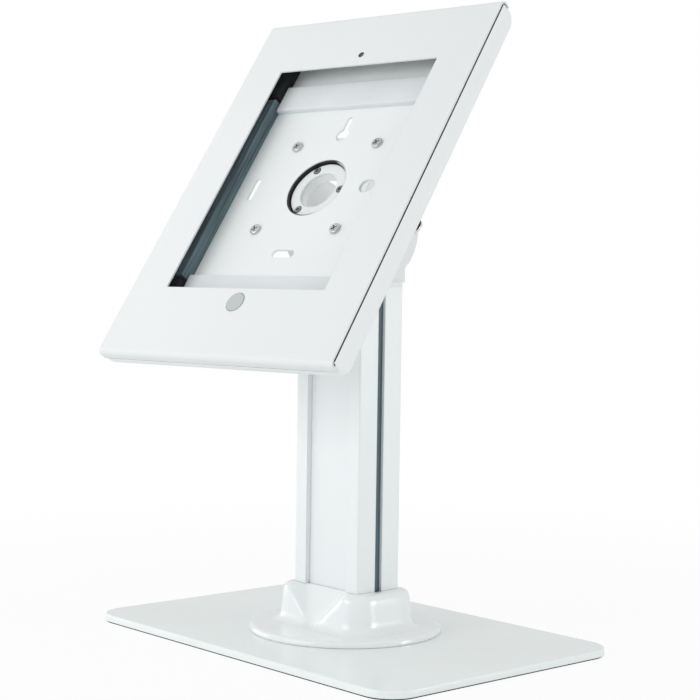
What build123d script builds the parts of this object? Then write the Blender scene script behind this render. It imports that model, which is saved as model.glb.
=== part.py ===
from build123d import *
from math import cos, sin, sqrt, radians
import os

os.makedirs("parts", exist_ok=True)

# Tablet kiosk stand: steel foot plate, aluminium post, swivelling and tilting neck, and a
# lockable tablet case that turns between portrait and landscape.
# Millimetres. +Z is up, the front of the stand looks towards -Y, and the origin is on the
# table under the middle of the post.

# Driving dimensions
plate_width = 328.0
plate_depth = 219.0
plate_thickness = 5.0
plate_corner = 22.0
mat_thickness = 1.0
post_width = 69.0
post_depth = 40.0
post_length = 249.5
pivot_height = 297.8
swivel_rest = 7.66
swivel_reach = 45.0
tilt_rest = 35.34
pivot_to_face = 65.4
tablet_width = 169.5
tablet_height = 240.0
tablet_thickness = 7.5
window_side_border = 10.75
window_end_border = 21.0
window_rise = -1.7
tablet_drop = 0.7
case_side_margin = 24.25
case_top_margin = 29.5
case_bottom_margin = 34.9
case_depth = 20.0
vesa_hole_width = 75.0
overrun = 1.0
running_gap = 0.05
small_gap = 0.3
tablet_rise = window_rise - tablet_drop
window_width = tablet_width - 2 * window_side_border
window_height = tablet_height - 2 * window_end_border
case_width = tablet_width + 2 * case_side_margin
case_top = tablet_rise + tablet_height / 2 + case_top_margin
case_bottom = tablet_rise - tablet_height / 2 - case_bottom_margin

# Frames: the neck swivels about Z, and the case lies on a plane tilted about the pivot
swivel_axis_x = (cos(radians(swivel_rest)), sin(radians(swivel_rest)), 0)
case_normal = (
    cos(radians(tilt_rest)) * sin(radians(swivel_rest)),
    -cos(radians(tilt_rest)) * cos(radians(swivel_rest)),
    sin(radians(tilt_rest)),
)
pivot_plane = Plane(origin=(0, 0, pivot_height), x_dir=swivel_axis_x, z_dir=case_normal)
swivel_plane = Plane(origin=(0, 0, 0), x_dir=swivel_axis_x, z_dir=(0, 0, 1))


def case_plane(depth):
    """Plane parallel to the case's face, that far behind it; local X is right and Y is up."""
    return pivot_plane.offset(pivot_to_face - depth)


def case_side(across):
    """Plane across the case; local X runs up the face and local Y out of its front."""
    middle = case_plane(0)
    return Plane(origin=middle.from_local_coords((across, 0, 0)), x_dir=middle.y_dir, z_dir=middle.x_dir)


def case_level(rise):
    """Plane level with the case's width; local X runs right and local Y out of its front."""
    middle = case_plane(0)
    return Plane(origin=middle.from_local_coords((0, rise, 0)), x_dir=middle.x_dir, z_dir=-middle.y_dir)


def ear_plane(across):
    """Plane across the neck at the tilt axis; local X runs rearward and local Y up."""
    centre = swivel_plane.from_local_coords((across, 0, pivot_height))
    return Plane(origin=centre, x_dir=swivel_plane.y_dir, z_dir=swivel_plane.x_dir)


def depth_behind_face(shape):
    """How far the middle of an edge or face lies behind the case's front."""
    return -case_plane(0).to_local_coords(shape.center()).Z


# Foot
mat_inset = 1.0
plate_edge_round = 1.4
plate_top = mat_thickness + plate_thickness

with BuildPart() as base_mat:
    with BuildSketch(Plane.XY):
        RectangleRounded(plate_width - 2 * mat_inset, plate_depth - 2 * mat_inset, plate_corner - mat_inset)
    extrude(amount=mat_thickness)

# Post section: two legs joined by a set-back web, with a slot down each side
post_round = 1.2
leg_round = 2.4
web_round = 0.8
post_wall = 2.2
recess_width = 44.0
recess_depth = 4.0
slot_mouth = 6.4
slot_lip = 2.5
slot_room_width = 12.0
slot_room_depth = 6.0
port_radius = 2.6
port_inset_x = 5.7
port_inset_y = 6.8
post_top = plate_top + post_length
channel_depth = post_depth - 2 * recess_depth - 2 * post_wall
port_span_x = post_width - 2 * port_inset_x
port_span_y = post_depth - 2 * port_inset_y
strip_thickness = 3.0
strip_gap = 0.2
outlet_height = 52.0
outlet_radius = 9.0
grommet_bore = 6.5
grommet_lip = 2.0
grommet_lip_thickness = 1.5
foot_screw_radius = port_radius - running_gap
foot_screw_reach = 18.0
foot_screw_head = 6.0
foot_screw_head_height = 3.4
foot_screw_clearance = 0.4

with BuildPart() as base_plate:
    with BuildSketch(Plane.XY.offset(mat_thickness)):
        RectangleRounded(plate_width, plate_depth, plate_corner)
    extrude(amount=plate_thickness)
    fillet(base_plate.faces().sort_by(Axis.Z)[-1].edges(), plate_edge_round)
    with Locations(Plane(origin=(0, 0, mat_thickness), z_dir=(0, 0, -1))):
        with GridLocations(port_span_x, port_span_y, 2, 2):
            CounterSinkHole(foot_screw_radius + foot_screw_clearance, foot_screw_head + foot_screw_clearance)

with BuildPart() as base_screws:
    with BuildSketch(Plane.XY.offset(mat_thickness)):
        with GridLocations(port_span_x, port_span_y, 2, 2):
            Circle(foot_screw_radius)
    extrude(amount=plate_thickness + foot_screw_reach)
    with Locations((0, 0, mat_thickness + foot_screw_head_height / 2)):
        with GridLocations(port_span_x, port_span_y, 2, 2):
            Cone(foot_screw_head, foot_screw_radius, foot_screw_head_height)


def post_outline(gap):
    """The post's outer section with a gap all round, drawn into the sketch that is open."""
    Rectangle(post_width + 2 * gap, post_depth + 2 * gap)
    with Locations((0, post_depth / 2 + gap), (0, -post_depth / 2 - gap)):
        Rectangle(recess_width - 2 * gap, 2 * recess_depth, mode=Mode.SUBTRACT)


def round_post(section):
    """Rounds an outline drawn by post_outline: its corners, the legs' inner edges and the web's feet."""
    corners = section.vertices().sort_by(lambda corner: abs(corner.X) + abs(corner.Y))
    fillet(corners[-4:], post_round)
    fillet(corners[4:-4], leg_round)
    fillet(corners[:4], web_round)


with BuildPart() as post:
    with BuildSketch(Plane.XY.offset(plate_top)) as post_section:
        post_outline(0)
        round_post(post_section)
        Rectangle(recess_width, channel_depth, mode=Mode.SUBTRACT)
        with GridLocations(port_span_x, port_span_y, 2, 2):
            Circle(port_radius, mode=Mode.SUBTRACT)
        with GridLocations(post_width, 0, 2, 1):
            Rectangle(2 * slot_lip, slot_mouth, mode=Mode.SUBTRACT)
        with GridLocations(post_width - 2 * slot_lip - slot_room_depth, 0, 2, 1):
            Rectangle(slot_room_depth, slot_room_width, mode=Mode.SUBTRACT)
    extrude(amount=post_length)
    with BuildSketch(Plane(origin=(0, 0, outlet_height), x_dir=(1, 0, 0), z_dir=(0, 1, 0))):
        Circle(outlet_radius)
    extrude(amount=post_depth, mode=Mode.SUBTRACT)

with BuildPart() as slot_strips:
    with BuildSketch(Plane.XY.offset(plate_top)):
        with GridLocations(post_width - 2 * slot_lip - strip_thickness, 0, 2, 1):
            Rectangle(strip_thickness, slot_room_width - 2 * strip_gap)
    extrude(amount=post_length)

# The outlet's grommet clips round the post's rear web
web_outer = post_depth / 2 - recess_depth
web_inner = web_outer - post_wall
with BuildPart() as cable_grommet:
    with BuildSketch(Plane(origin=(0, web_inner - grommet_lip_thickness, outlet_height),
                           x_dir=(1, 0, 0), z_dir=(0, -1, 0))) as grommet_section:
        Circle(outlet_radius - running_gap)
    extrude(amount=-(post_wall + 2 * grommet_lip_thickness))
    with BuildSketch(Plane(origin=(0, web_outer, outlet_height), x_dir=(1, 0, 0), z_dir=(0, -1, 0))):
        Circle(outlet_radius + grommet_lip)
    extrude(amount=-grommet_lip_thickness)
    with BuildSketch(Plane(origin=(0, web_inner, outlet_height), x_dir=(1, 0, 0), z_dir=(0, -1, 0))):
        Circle(outlet_radius + grommet_lip)
    extrude(amount=grommet_lip_thickness)
    with BuildSketch(Plane(origin=(0, web_outer + 2 * grommet_lip_thickness, outlet_height),
                           x_dir=(1, 0, 0), z_dir=(0, -1, 0))):
        Circle(grommet_bore)
    extrude(amount=post_depth, mode=Mode.SUBTRACT)

# Collar: a round rim and a drafted body that hugs the post, with a valley in front and behind
# that is wide at the post's recess and runs out to a point near the foot
collar_radius = 70.0
collar_rim = 4.8
collar_rim_round = 2.2
collar_height = 32.2
collar_wall = 2.5
collar_offset = 13.2
collar_corner = 19.0
collar_draft = 5.5
collar_top_round = 5.0
collar_foot_round = 7.0
collar_fit = 0.2
valley_mouth_width = 78.0
valley_floor_width = 42.0
valley_bend = 10.0
valley_point_share = 0.12
valley_rise = 5.4
valley_ledge = 1.5
rim_top = plate_top + collar_rim
collar_face = post_depth / 2 + collar_offset
recess_face = post_depth / 2 - recess_depth
valley_low = plate_top + valley_rise
valley_high = plate_top + collar_height + overrun


def collar_foot(inset):
    """The drafted body's outline at the plate, drawn into the sketch that is open."""
    reach = 2 * (collar_offset - inset)
    RectangleRounded(post_width + reach, post_depth + reach, collar_corner - inset)


def valley(growth):
    """Scoop that clears the front valley, grown sideways and inwards: wide above, nearly a point below."""
    mouth = collar_face + overrun
    with BuildPart(mode=Mode.PRIVATE) as scoop:
        for level, share in ((valley_low, valley_point_share), (valley_high, 1)):
            mouth_half = share * valley_mouth_width / 2 + growth
            floor_half = share * valley_floor_width / 2 + growth
            depth = share * (mouth - recess_face - valley_ledge) + growth
            with BuildSketch(Plane.XY.offset(level)) as section:
                corners = [(-mouth_half, 0), (mouth_half, 0), (floor_half, depth), (-floor_half, depth)]
                with Locations((0, -mouth)):
                    Polygon(*corners, align=None)
                fillet(section.vertices().sort_by(Axis.Y)[-2:], share * valley_bend)
        loft(ruled=True)
    return scoop.part


with BuildPart() as collar_room:
    with BuildSketch(Plane.XY.offset(plate_top)):
        Circle(collar_radius - collar_wall)
    extrude(amount=collar_rim - collar_wall)
    with BuildSketch(Plane.XY.offset(plate_top)):
        collar_foot(collar_wall)
    extrude(amount=collar_height - collar_wall, taper=collar_draft)
    add(valley(collar_wall), mode=Mode.SUBTRACT)
    add(valley(collar_wall).rotate(Axis.Z, 180), mode=Mode.SUBTRACT)

with BuildPart() as collar:
    with BuildSketch(Plane.XY.offset(plate_top)):
        collar_foot(0)
    extrude(amount=collar_height, taper=collar_draft)
    fillet(collar.faces().sort_by(Axis.Z)[-1].outer_wire().edges(), collar_top_round)
    add(valley(0), mode=Mode.SUBTRACT)
    add(valley(0).rotate(Axis.Z, 180), mode=Mode.SUBTRACT)
    with BuildSketch(Plane.XY.offset(plate_top)):
        Circle(collar_radius)
    extrude(amount=collar_rim)
    level_edges = collar.edges().filter_by_position(Axis.Z, rim_top - running_gap, rim_top + running_gap)
    fillet(level_edges.filter_by(lambda edge: edge.length < 2 * collar_radius), collar_foot_round)
    level_edges = collar.edges().filter_by_position(Axis.Z, rim_top - running_gap, rim_top + running_gap)
    fillet(level_edges.filter_by(lambda edge: edge.length > 2 * collar_radius), collar_rim_round)
    add(collar_room.part, mode=Mode.SUBTRACT)
    with BuildSketch(Plane.XY.offset(plate_top)) as collar_hole:
        post_outline(collar_fit)
        round_post(collar_hole)
    extrude(amount=collar_height + overrun, mode=Mode.SUBTRACT)

# Cap that closes the post and carries the swivel
cap_thickness = 3.0
cap_plug_depth = 18.0
cap_plug_fit = 0.2
tube_radius = 9.0
tube_bore = 6.5
cap_screw_head = 4.6
cap_screw_head_height = 2.2
cap_screw_reach = 14.0
cap_screw_gap = 0.1
washer_radius = 15.0
washer_thickness = 0.8
stop_pin_radius = 2.0
stop_pin_orbit = 18.0
stop_pin_sunk = 8.0
stop_pin_reach = 3.6
cap_top = post_top + cap_thickness
washer_seat = washer_thickness - small_gap
plug_bottom = post_top - cap_plug_depth

with BuildPart() as post_cap:
    with BuildSketch(Plane.XY.offset(post_top)) as cap_outline:
        post_outline(0)
        fillet(cap_outline.vertices(), post_round)
    extrude(amount=cap_thickness)
    with BuildSketch(Plane.XY.offset(plug_bottom)):
        Rectangle(recess_width - 2 * cap_plug_fit, channel_depth - 2 * cap_plug_fit)
    extrude(amount=cap_plug_depth)
    with BuildSketch(Plane.XY.offset(plug_bottom)):
        Circle(tube_radius + running_gap)
    extrude(amount=cap_plug_depth + cap_thickness, mode=Mode.SUBTRACT)
    with BuildSketch(Plane.XY.offset(cap_top)):
        Circle(washer_radius + running_gap)
    extrude(amount=-washer_seat, mode=Mode.SUBTRACT)
    with BuildSketch(Plane.XY.offset(cap_top)):
        with Locations((stop_pin_orbit, 0)):
            Circle(stop_pin_radius)
    extrude(amount=-stop_pin_sunk, mode=Mode.SUBTRACT)
    with Locations((0, 0, cap_top)):
        with GridLocations(port_span_x, port_span_y, 2, 2):
            CounterSinkHole(port_radius + cap_screw_gap, cap_screw_head + cap_screw_gap)

with BuildPart() as cap_screws:
    with BuildSketch(Plane.XY.offset(cap_top)):
        with GridLocations(port_span_x, port_span_y, 2, 2):
            Circle(port_radius - running_gap)
    extrude(amount=-cap_screw_reach)
    with Locations((0, 0, cap_top - cap_screw_head_height / 2)):
        with GridLocations(port_span_x, port_span_y, 2, 2):
            Cone(port_radius - running_gap, cap_screw_head, cap_screw_head_height)

with BuildPart() as stop_pin:
    with BuildSketch(Plane.XY.offset(cap_top - stop_pin_sunk)):
        with Locations((stop_pin_orbit, 0)):
            Circle(stop_pin_radius)
    extrude(amount=stop_pin_sunk + stop_pin_reach)

with BuildPart() as swivel_washer:
    with BuildSketch(Plane.XY.offset(cap_top - washer_seat)):
        Circle(washer_radius)
        Circle(tube_radius + running_gap, mode=Mode.SUBTRACT)
    extrude(amount=washer_thickness)

# Yoke: a turntable plate with two round ears that carry the tilt bolt
yoke_base = 5.0
yoke_width = 68.0
yoke_depth = 38.0
yoke_round = 3.0
ear_radius = 35.5
ear_thickness = 6.2
ear_round = 1.2
ear_half_span = post_width / 2
bolt_radius = 4.0
bolt_head_flats = 13.0
bolt_head_height = 5.3
bolt_head_seat = 3.8
bolt_seat_radius = 8.0
nut_height = 4.6
stop_slot_gap = 0.4
yoke_bottom = cap_top + small_gap
yoke_top = yoke_bottom + yoke_base
pivot_over_yoke = pivot_height - yoke_bottom
ear_inner = ear_half_span - ear_thickness
stop_slot_play = 1.0
stop_slot_end = swivel_reach - stop_slot_play
stop_slot_path = CenterArc((0, 0), stop_pin_orbit, -stop_slot_end, 2 * stop_slot_end)

with BuildPart() as yoke:
    with BuildSketch(swivel_plane.offset(yoke_bottom)):
        RectangleRounded(yoke_width, yoke_depth, yoke_round)
    extrude(amount=yoke_base)
    for side in (-1, 1):
        with BuildSketch(ear_plane(side * ear_half_span)):
            Circle(ear_radius)
            with Locations((0, -pivot_over_yoke / 2)):
                Rectangle(post_depth, pivot_over_yoke)
            Circle(bolt_radius + running_gap, mode=Mode.SUBTRACT)
        extrude(amount=-side * ear_thickness)
        with BuildSketch(ear_plane(side * ear_half_span)):
            Circle(bolt_seat_radius)
        extrude(amount=-side * bolt_head_seat, mode=Mode.SUBTRACT)
    with BuildSketch(swivel_plane.offset(yoke_bottom)):
        Circle(tube_radius + running_gap)
    extrude(amount=yoke_base, mode=Mode.SUBTRACT)
    with BuildSketch(swivel_plane.offset(yoke_bottom)):
        SlotArc(stop_slot_path, 2 * (stop_pin_radius + stop_slot_gap))
    extrude(amount=yoke_base, mode=Mode.SUBTRACT)
    outer_rims = yoke.edges().filter_by(GeomType.CIRCLE).filter_by(lambda rim: rim.radius == ear_radius)
    fillet(outer_rims, ear_round)

tube_flange = 14.0
tube_flange_thickness = 2.0
spring_thickness = 0.6
ring_nut_radius = 12.4
ring_nut_height = 6.0
ring_nut_notch = 3.0
ring_nut_notch_depth = 1.5
tube_tail = 0.8
nut_top = plug_bottom - spring_thickness
tube_bottom = nut_top - ring_nut_height - tube_tail

with BuildPart() as swivel_tube:
    with BuildSketch(swivel_plane.offset(tube_bottom)):
        Circle(tube_radius)
    extrude(amount=yoke_top + tube_flange_thickness - tube_bottom)
    with BuildSketch(swivel_plane.offset(yoke_top)):
        Circle(tube_flange)
    extrude(amount=tube_flange_thickness)
    with BuildSketch(swivel_plane.offset(tube_bottom)):
        Circle(tube_bore)
    extrude(amount=yoke_top + tube_flange_thickness - tube_bottom, mode=Mode.SUBTRACT)

with BuildPart() as swivel_spring:
    with BuildSketch(swivel_plane.offset(nut_top)):
        Circle(ring_nut_radius)
        Circle(tube_radius + running_gap, mode=Mode.SUBTRACT)
    extrude(amount=spring_thickness - running_gap)

with BuildPart() as swivel_nut:
    with BuildSketch(swivel_plane.offset(nut_top)):
        Circle(ring_nut_radius)
        with PolarLocations(ring_nut_radius, 4):
            Rectangle(2 * ring_nut_notch_depth, ring_nut_notch, mode=Mode.SUBTRACT)
        Circle(tube_radius + running_gap, mode=Mode.SUBTRACT)
    extrude(amount=-ring_nut_height)

with BuildPart() as tilt_bolt:
    with BuildSketch(ear_plane(ear_half_span - bolt_head_seat)):
        RegularPolygon(bolt_head_flats / 2, 6, major_radius=False)
    extrude(amount=bolt_head_height)
    with BuildSketch(ear_plane(ear_half_span - bolt_head_seat)):
        Circle(bolt_radius)
    extrude(amount=-(2 * (ear_half_span - bolt_head_seat) + nut_height))

with BuildPart() as tilt_nut:
    with BuildSketch(ear_plane(-(ear_half_span - bolt_head_seat))):
        RegularPolygon(bolt_head_flats / 2, 6, major_radius=False)
        Circle(bolt_radius + running_gap, mode=Mode.SUBTRACT)
    extrude(amount=-nut_height)

# Round covers over the bolt's ends
ear_cap_radius = 29.0
ear_cap_thickness = 3.0
ear_cap_round = 1.5
ear_cap_room = bolt_head_height - bolt_head_seat + small_gap

with BuildPart() as ear_caps:
    for side in (-1, 1):
        with BuildSketch(ear_plane(side * ear_half_span)):
            Circle(ear_cap_radius)
        extrude(amount=side * ear_cap_thickness)
    cap_rims = ear_caps.edges().filter_by(
        lambda rim: abs(swivel_plane.to_local_coords(rim.center()).X) > ear_half_span + ear_cap_thickness / 2
    )
    fillet(cap_rims, ear_cap_round)
    for side in (-1, 1):
        with BuildSketch(ear_plane(side * ear_half_span)):
            Circle(bolt_seat_radius)
        extrude(amount=side * ear_cap_room, mode=Mode.SUBTRACT)

# Hub stack, measured as depths behind the case's face
case_wall = 1.5
panel_front = case_depth - case_wall
vesa_plate_thickness = 5.0
vesa_plate_rear = case_depth + vesa_plate_thickness
ring_front = 21.2
ring_radius = 23.4
ring_bore = 15.0
ring_round = 1.0
ring_lip_gap = 0.15
counterbore_floor = 23.5
bush_wall = 0.7
bush_gap = 0.5
bush_front = 19.0
bush_bore = ring_radius + bush_gap
counterbore_radius = bush_bore + bush_wall + running_gap
boss_front = counterbore_floor - ring_lip_gap
boss_radius = 22.2
hub_washer_thickness = 0.75
hub_washer_rear = vesa_plate_rear + running_gap + hub_washer_thickness
arm_flange_rear = 29.5
arm_flange_width = 53.6
arm_flange_height = 54.0
arm_flange_round = 8.0
arm_bore = 14.7
hub_screw_circle_radius = 20.0
hub_screw_radius = 1.5
hub_screw_head = 2.6
hub_screw_head_height = 1.3
hub_screw_well = 3.1
hub_screw_well_depth = 0.9
hub_screw_reach = 5.0
hub_screw_socket = 1.5
hub_screw_socket_depth = 0.9
lug_inner = 20.6
lug_outer = arm_flange_width / 2
lug_radius = 29.0
lug_root = 20.0
spacer_radius = 9.0
tilt_washer_radius = 22.0
tilt_washer_thickness = ear_inner - lug_outer - 2 * running_gap

with BuildPart() as tilt_arm:
    with BuildSketch(case_plane(arm_flange_rear)):
        RectangleRounded(arm_flange_width, arm_flange_height, arm_flange_round)
    extrude(amount=arm_flange_rear - hub_washer_rear)
    with BuildSketch(case_plane(arm_flange_rear)):
        Circle(boss_radius)
    extrude(amount=arm_flange_rear - boss_front)
    for side in (-1, 1):
        with BuildSketch(case_side(side * lug_inner)):
            with BuildLine():
                Polyline(
                    (-lug_root, -arm_flange_rear),
                    (lug_root, -arm_flange_rear),
                    (lug_radius, -pivot_to_face),
                    (-lug_radius, -pivot_to_face),
                    close=True,
                )
            make_face()
            with Locations((0, -pivot_to_face)):
                Circle(lug_radius)
        extrude(amount=side * (lug_outer - lug_inner))
    with BuildSketch(case_side(-lug_outer)):
        with Locations((0, -pivot_to_face)):
            Circle(spacer_radius)
    extrude(amount=2 * lug_outer)
    with BuildSketch(case_side(-lug_outer)):
        with Locations((0, -pivot_to_face)):
            Circle(bolt_radius + running_gap)
    extrude(amount=2 * lug_outer, mode=Mode.SUBTRACT)
    with BuildSketch(case_plane(arm_flange_rear)):
        Circle(arm_bore)
    extrude(amount=arm_flange_rear - boss_front, mode=Mode.SUBTRACT)
    with BuildSketch(case_plane(boss_front)):
        with PolarLocations(hub_screw_circle_radius, 3):
            Circle(hub_screw_radius + running_gap)
    extrude(amount=-hub_screw_reach, mode=Mode.SUBTRACT)

with BuildPart() as tilt_washers:
    for side in (-1, 1):
        with BuildSketch(case_side(side * (lug_outer + running_gap))):
            with Locations((0, -pivot_to_face)):
                Circle(tilt_washer_radius)
                Circle(bolt_radius + running_gap, mode=Mode.SUBTRACT)
        extrude(amount=side * tilt_washer_thickness)

with BuildPart() as hub_washer:
    with BuildSketch(case_plane(hub_washer_rear)):
        Circle(arm_flange_width / 2)
        Circle(boss_radius + running_gap, mode=Mode.SUBTRACT)
    extrude(amount=hub_washer_thickness)

with BuildPart() as hub_ring:
    with BuildSketch(case_plane(boss_front)):
        Circle(ring_radius)
    extrude(amount=boss_front - ring_front)
    with BuildSketch(case_plane(boss_front)):
        Circle(ring_bore)
    extrude(amount=boss_front - ring_front, mode=Mode.SUBTRACT)
    front_rims = hub_ring.edges().filter_by(lambda rim: depth_behind_face(rim) < ring_front + running_gap)
    fillet(front_rims, ring_round)
    with BuildSketch(case_plane(ring_front)):
        with PolarLocations(hub_screw_circle_radius, 3):
            Circle(hub_screw_radius + running_gap)
    extrude(amount=-(boss_front - ring_front), mode=Mode.SUBTRACT)
    with BuildSketch(case_plane(ring_front)):
        with PolarLocations(hub_screw_circle_radius, 3):
            Circle(hub_screw_well)
    extrude(amount=-hub_screw_well_depth, mode=Mode.SUBTRACT)

with BuildPart() as hub_screws:
    with BuildSketch(case_plane(ring_front + hub_screw_well_depth)):
        with PolarLocations(hub_screw_circle_radius, 3):
            Circle(hub_screw_head)
    extrude(amount=hub_screw_head_height)
    with BuildSketch(case_plane(ring_front + hub_screw_well_depth)):
        with PolarLocations(hub_screw_circle_radius, 3):
            Circle(hub_screw_radius)
    extrude(amount=-hub_screw_reach)
    with BuildSketch(case_plane(ring_front + hub_screw_well_depth - hub_screw_head_height)):
        with PolarLocations(hub_screw_circle_radius, 3):
            RegularPolygon(hub_screw_socket, 6)
    extrude(amount=-hub_screw_socket_depth, mode=Mode.SUBTRACT)

# Mounting plate on the back of the case, turning on the hub's boss
vesa_plate_side = 92.0
vesa_plate_round = 8.0
vesa_screw_radius = 2.0
vesa_screw_head = 4.2
vesa_screw_head_height = 2.2
vesa_screw_reach = 6.0
vesa_screw_round = 1.0
cross_turn = 30.0
cross_length = 5.0
cross_width = 1.2
cross_depth = 1.4

with BuildPart() as vesa_plate:
    with BuildSketch(case_plane(vesa_plate_rear)):
        RectangleRounded(vesa_plate_side, vesa_plate_side, vesa_plate_round)
        Circle(boss_radius + running_gap, mode=Mode.SUBTRACT)
        with GridLocations(vesa_hole_width, vesa_hole_width, 2, 2):
            Circle(vesa_screw_radius + running_gap, mode=Mode.SUBTRACT)
    extrude(amount=vesa_plate_thickness)
    with BuildSketch(case_plane(counterbore_floor)):
        Circle(counterbore_radius)
    extrude(amount=counterbore_floor - case_depth, mode=Mode.SUBTRACT)

with BuildPart() as hub_bush:
    with BuildSketch(case_plane(counterbore_floor)):
        Circle(bush_bore + bush_wall)
        Circle(bush_bore, mode=Mode.SUBTRACT)
    extrude(amount=counterbore_floor - bush_front)

with BuildPart() as vesa_screws:
    with BuildSketch(case_plane(panel_front)):
        with GridLocations(vesa_hole_width, vesa_hole_width, 2, 2):
            Circle(vesa_screw_head)
    extrude(amount=vesa_screw_head_height)
    fillet(vesa_screws.edges().filter_by(lambda rim: depth_behind_face(rim) < panel_front - running_gap),
           vesa_screw_round)
    with BuildSketch(case_plane(panel_front)):
        with GridLocations(vesa_hole_width, vesa_hole_width, 2, 2):
            Circle(vesa_screw_radius)
    extrude(amount=-vesa_screw_reach)
    with BuildSketch(case_plane(panel_front - vesa_screw_head_height)):
        with GridLocations(vesa_hole_width, vesa_hole_width, 2, 2):
            Rectangle(cross_length, cross_width, rotation=cross_turn)
            Rectangle(cross_width, cross_length, rotation=cross_turn)
    extrude(amount=-cross_depth, mode=Mode.SUBTRACT)

# Case: a pressed rear shell and a folded front cover
cover_sheet = 1.2
cover_fold = 8.0
cover_round = 4.0
cover_gap = 0.3
rear_round = 10.0
side_round = 4.0
seam_gap = 0.8
step_depth = cover_fold + cover_gap
rim_depth = cover_sheet + seam_gap
half_width = case_width / 2
rim_step = cover_sheet + cover_gap


def shell_outline(inset, front, corner, step):
    """Side view of the shell, inset from its outside, drawn into the sketch that is open."""
    low = case_bottom + inset
    high = case_top - inset
    back = case_depth - inset
    Polygon(
        (low + rim_step + case_wall, -front),
        (low + rim_step + case_wall, -corner),
        (low + rim_step, -corner),
        (low + rim_step, -step),
        (low, -step),
        (low, -back),
        (high, -back),
        (high, -step),
        (high - rim_step, -step),
        (high - rim_step, -corner),
        (high - rim_step - case_wall, -corner),
        (high - rim_step - case_wall, -front),
        align=None,
    )


def rear_side_edges(builder, inset, step):
    """Edges down both sides of the shell's rear, where its sides turn into its back."""
    return builder.edges().filter_by(
        lambda edge: abs(abs(case_plane(0).to_local_coords(edge.center()).X) - half_width + inset) < running_gap
        and depth_behind_face(edge) > step + running_gap
    )


# Holes in the back panel: hub, plate screws, a keyhole above and slots beside and below
hub_opening = bush_bore + bush_wall + small_gap
panel_screw_hole = 2.3
keyhole_rise = 47.6
keyhole_radius = 5.6
keyhole_slot = 4.6
keyhole_reach = 14.0
side_slot_place = -60.5
side_slot_length = 20.0
side_slot_width = 5.2
round_slot_place = 46.6
round_slot_length = 13.0
round_slot_width = 11.0
low_slot_place = -58.2
low_slot_length = 20.0
low_slot_width = 6.6
lock_edge = 10.0
lock_across = half_width - lock_edge
lock_rise = -31.5
lock_body_radius = 4.8
hook_rises = (96.0, 0.0, -106.0)
hook_width = 16.0
hook_inner_radius = 7.8
hook_thickness = 1.2
hook_sweep = 74.0
hook_slot_gap = 0.5
shell_lip_width = 11.0
shell_lip_thickness = 1.2

hook_outer_radius = hook_inner_radius + hook_thickness
lip_rear = seam_gap + shell_lip_thickness
hook_slot_inner = sqrt(hook_inner_radius ** 2 - lip_rear ** 2) - hook_slot_gap
hook_slot_outer = hook_outer_radius + hook_slot_gap

with BuildPart() as shell_room:
    with BuildSketch(case_side(0)) as room_section:
        shell_outline(case_wall, 0, 0, step_depth + case_wall)
        fillet(room_section.vertices().sort_by(Axis.Y)[:2], rear_round - case_wall)
    extrude(amount=half_width - case_wall, both=True)
    fillet(rear_side_edges(shell_room, case_wall, step_depth + case_wall), side_round - case_wall)

with BuildPart() as rear_shell:
    with BuildSketch(case_side(0)) as shell_section:
        shell_outline(0, rim_depth, cover_round, step_depth)
        fillet(shell_section.vertices().sort_by(Axis.Y)[:2], rear_round)
    extrude(amount=half_width, both=True)
    fillet(rear_side_edges(rear_shell, 0, step_depth), side_round)
    add(shell_room.part, mode=Mode.SUBTRACT)
    with BuildSketch(case_plane(case_depth)):
        Circle(hub_opening)
        with GridLocations(vesa_hole_width, vesa_hole_width, 2, 2):
            Circle(panel_screw_hole)
        with Locations((0, keyhole_rise)):
            Circle(keyhole_radius)
        with Locations((0, keyhole_rise + keyhole_reach / 2)):
            SlotCenterToCenter(keyhole_reach, keyhole_slot, rotation=90)
        with Locations((side_slot_place, 0)):
            SlotOverall(side_slot_length, side_slot_width, rotation=90)
        with Locations((round_slot_place, 0)):
            SlotOverall(round_slot_length, round_slot_width)
        with Locations((0, low_slot_place)):
            SlotOverall(low_slot_length, low_slot_width)
        with Locations((lock_across, lock_rise)):
            Circle(lock_body_radius + running_gap)
    extrude(amount=case_wall, mode=Mode.SUBTRACT)
    with BuildSketch(case_plane(rim_depth)):
        with Locations((-half_width, (case_top + case_bottom) / 2)):
            Rectangle(shell_lip_width, case_top - case_bottom - 2 * (rim_step + case_wall),
                      align=(Align.MIN, Align.CENTER))
    extrude(amount=-shell_lip_thickness)
    with BuildSketch(case_plane(rim_depth)):
        for rise in hook_rises:
            with Locations((-half_width + hook_slot_inner, rise)):
                Rectangle(hook_slot_outer - hook_slot_inner, hook_width + 2 * hook_slot_gap,
                          align=(Align.MIN, Align.CENTER))
    extrude(amount=-shell_lip_thickness, mode=Mode.SUBTRACT)

button_edge = 10.4
button_rise = tablet_rise - tablet_height / 2 + button_edge
button_radius = 7.3
button_hole_gap = 0.3
camera_edge = 10.6
camera_rise = tablet_rise + tablet_height / 2 - camera_edge
camera_radius = 2.4
window_round = 1.0

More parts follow.
